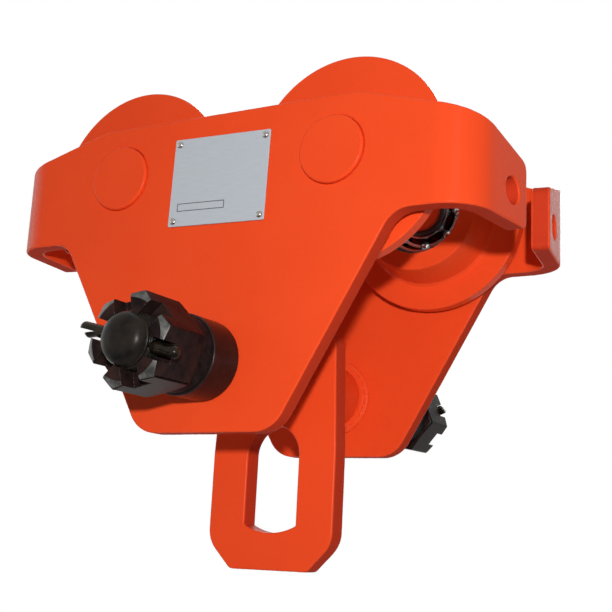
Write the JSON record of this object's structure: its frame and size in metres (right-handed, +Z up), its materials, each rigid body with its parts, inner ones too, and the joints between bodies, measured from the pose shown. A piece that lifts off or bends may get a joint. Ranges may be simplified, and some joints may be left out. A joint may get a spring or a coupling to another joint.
{
  "type": "beam trolley",
  "caption": "Push trolley for an I-beam: bent side plates on a threaded load shaft carry flanged wheels that run on the lower flange, with a slotted hanger plate for a hoist hook.",
  "frame": {"origin": "on the beam's mid-plane, midway between the four wheels and level with the middle of their treads' lowest line, which is the top of the beam's lower flange", "axes": "+X along the beam, +Y from the nameplate side to the far side, +Z up"},
  "size_m": [0.2932, 0.3358, 0.2581],
  "materials": {
    "orange_enamel": "gloss enamel over flame-cut steel",
    "black_oxide_steel": "oiled black oxide",
    "dark_sleeve_steel": "smooth blackened steel",
    "bearing_steel": "ground bearing steel",
    "spring_steel": "plain spring steel",
    "pin_steel": "oiled dark steel wire",
    "nameplate_aluminium": "satin, left bare"
  },
  "bodies": {
    "frame": {"side_plate_front": "orange_enamel", "side_plate_rear": "orange_enamel", "welded_collar_front": "orange_enamel", "welded_collar_rear": "orange_enamel", "load_shaft": "black_oxide_steel", "inner_spacer_front": "orange_enamel", "inner_spacer_rear": "orange_enamel", "outer_sleeve_front": "dark_sleeve_steel", "outer_sleeve_rear_short": "dark_sleeve_steel", "outer_sleeve_rear_long": "dark_sleeve_steel", "spacer_washer_front": "black_oxide_steel", "spacer_washer_rear": "black_oxide_steel", "castle_nut_front": "black_oxide_steel", "castle_nut_rear": "black_oxide_steel", "split_pin_front": "pin_steel", "split_pin_rear": "pin_steel", "nameplate": "nameplate_aluminium", "nameplate_rivet_1": "spring_steel", "nameplate_rivet_2": "spring_steel", "nameplate_rivet_3": "spring_steel", "nameplate_rivet_4": "spring_steel", "wheel_axle_front_left": "orange_enamel", "wheel_axle_front_right": "orange_enamel", "wheel_axle_rear_left": "orange_enamel", "wheel_axle_rear_right": "orange_enamel", "bearing_inner_ring_front_left": "bearing_steel", "bearing_inner_ring_front_right": "bearing_steel", "bearing_inner_ring_rear_left": "bearing_steel", "bearing_inner_ring_rear_right": "bearing_steel", "axle_circlip_front_left": "spring_steel", "axle_circlip_front_right": "spring_steel", "axle_circlip_rear_left": "spring_steel", "axle_circlip_rear_right": "spring_steel"},
    "hanger": {"hanger_plate": "orange_enamel"},
    "rolling_wheel_front_left": {"wheel_flange_front_left": "orange_enamel", "wheel_tread_front_left": "orange_enamel", "bearing_outer_ring_front_left": "bearing_steel", "bore_circlip_front_left": "spring_steel"},
    "ball_set_front_left": {"bearing_ball_cage_front_left": "bearing_steel"},
    "rolling_wheel_front_right": {"wheel_flange_front_right": "orange_enamel", "wheel_tread_front_right": "orange_enamel", "bearing_outer_ring_front_right": "bearing_steel", "bore_circlip_front_right": "spring_steel"},
    "ball_set_front_right": {"bearing_ball_cage_front_right": "bearing_steel"},
    "rolling_wheel_rear_left": {"wheel_flange_rear_left": "orange_enamel", "wheel_tread_rear_left": "orange_enamel", "bearing_outer_ring_rear_left": "bearing_steel", "bore_circlip_rear_left": "spring_steel"},
    "ball_set_rear_left": {"bearing_ball_cage_rear_left": "bearing_steel"},
    "rolling_wheel_rear_right": {"wheel_flange_rear_right": "orange_enamel", "wheel_tread_rear_right": "orange_enamel", "bearing_outer_ring_rear_right": "bearing_steel", "bore_circlip_rear_right": "spring_steel"},
    "ball_set_rear_right": {"bearing_ball_cage_rear_right": "bearing_steel"}
  },
  "joints": [
    {"name": "hanger_swing", "type": "hinge", "parent": "frame", "child": "hanger", "pos_m": [0, 0, -0.065], "axis": [0, 1, 0], "range_deg": [-100, 100]},
    {"name": "wheel_spin_front_left", "type": "hinge", "parent": "frame", "child": "rolling_wheel_front_left", "pos_m": [-0.065, -0.05, 0.038], "axis": [0, 1, 0], "continuous": true},
    {"name": "ball_orbit_front_left", "type": "hinge", "parent": "frame", "child": "ball_set_front_left", "pos_m": [-0.065, -0.05, 0.038], "axis": [0, 1, 0], "continuous": true},
    {"name": "wheel_spin_front_right", "type": "hinge", "parent": "frame", "child": "rolling_wheel_front_right", "pos_m": [0.065, -0.05, 0.038], "axis": [0, 1, 0], "continuous": true},
    {"name": "ball_orbit_front_right", "type": "hinge", "parent": "frame", "child": "ball_set_front_right", "pos_m": [0.065, -0.05, 0.038], "axis": [0, 1, 0], "continuous": true},
    {"name": "wheel_spin_rear_left", "type": "hinge", "parent": "frame", "child": "rolling_wheel_rear_left", "pos_m": [-0.065, 0.05, 0.038], "axis": [0, 1, 0], "continuous": true},
    {"name": "ball_orbit_rear_left", "type": "hinge", "parent": "frame", "child": "ball_set_rear_left", "pos_m": [-0.065, 0.05, 0.038], "axis": [0, 1, 0], "continuous": true},
    {"name": "wheel_spin_rear_right", "type": "hinge", "parent": "frame", "child": "rolling_wheel_rear_right", "pos_m": [0.065, 0.05, 0.038], "axis": [0, 1, 0], "continuous": true},
    {"name": "ball_orbit_rear_right", "type": "hinge", "parent": "frame", "child": "ball_set_rear_right", "pos_m": [0.065, 0.05, 0.038], "axis": [0, 1, 0], "continuous": true}
  ],
  "couplings": [
    {"joint": "ball_orbit_front_left", "follows": "wheel_spin_front_left", "ratio": 0.601},
    {"joint": "ball_orbit_front_right", "follows": "wheel_spin_front_right", "ratio": 0.601},
    {"joint": "ball_orbit_rear_left", "follows": "wheel_spin_rear_left", "ratio": 0.601},
    {"joint": "ball_orbit_rear_right", "follows": "wheel_spin_rear_right", "ratio": 0.601}
  ]
}
